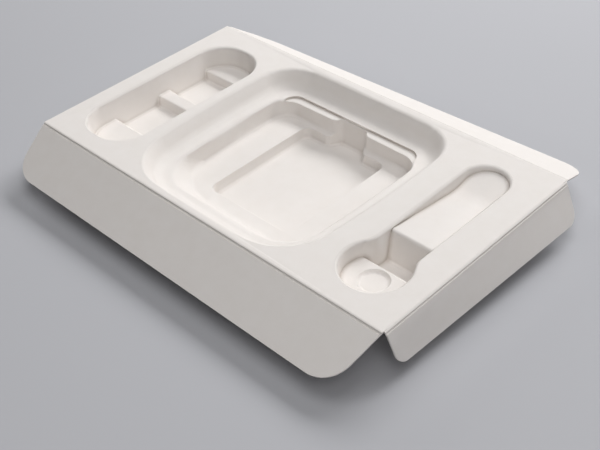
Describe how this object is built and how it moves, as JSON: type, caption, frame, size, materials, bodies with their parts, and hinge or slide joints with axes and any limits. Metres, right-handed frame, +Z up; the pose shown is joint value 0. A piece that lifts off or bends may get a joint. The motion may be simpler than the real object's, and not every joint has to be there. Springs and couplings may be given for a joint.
{
  "type": "molded pulp insert",
  "caption": "Flat pressed-fibre packing tray with a deep coved centre pocket, a long rounded pocket, a keyhole pocket and folded flaps along its edges.",
  "frame": {"origin": "on the resting surface, under the middle of the deck", "axes": "+X along the deck towards the keyhole pocket, +Y across the deck towards the finger notch, +Z up out of the pockets"},
  "size_m": [0.3211, 0.2352, 0.033],
  "materials": {
    "pulp": "matte pressed fibre with a fine felt grain"
  },
  "bodies": {
    "root": {"pulp_tray": "pulp"}
  },
  "joints": []
}
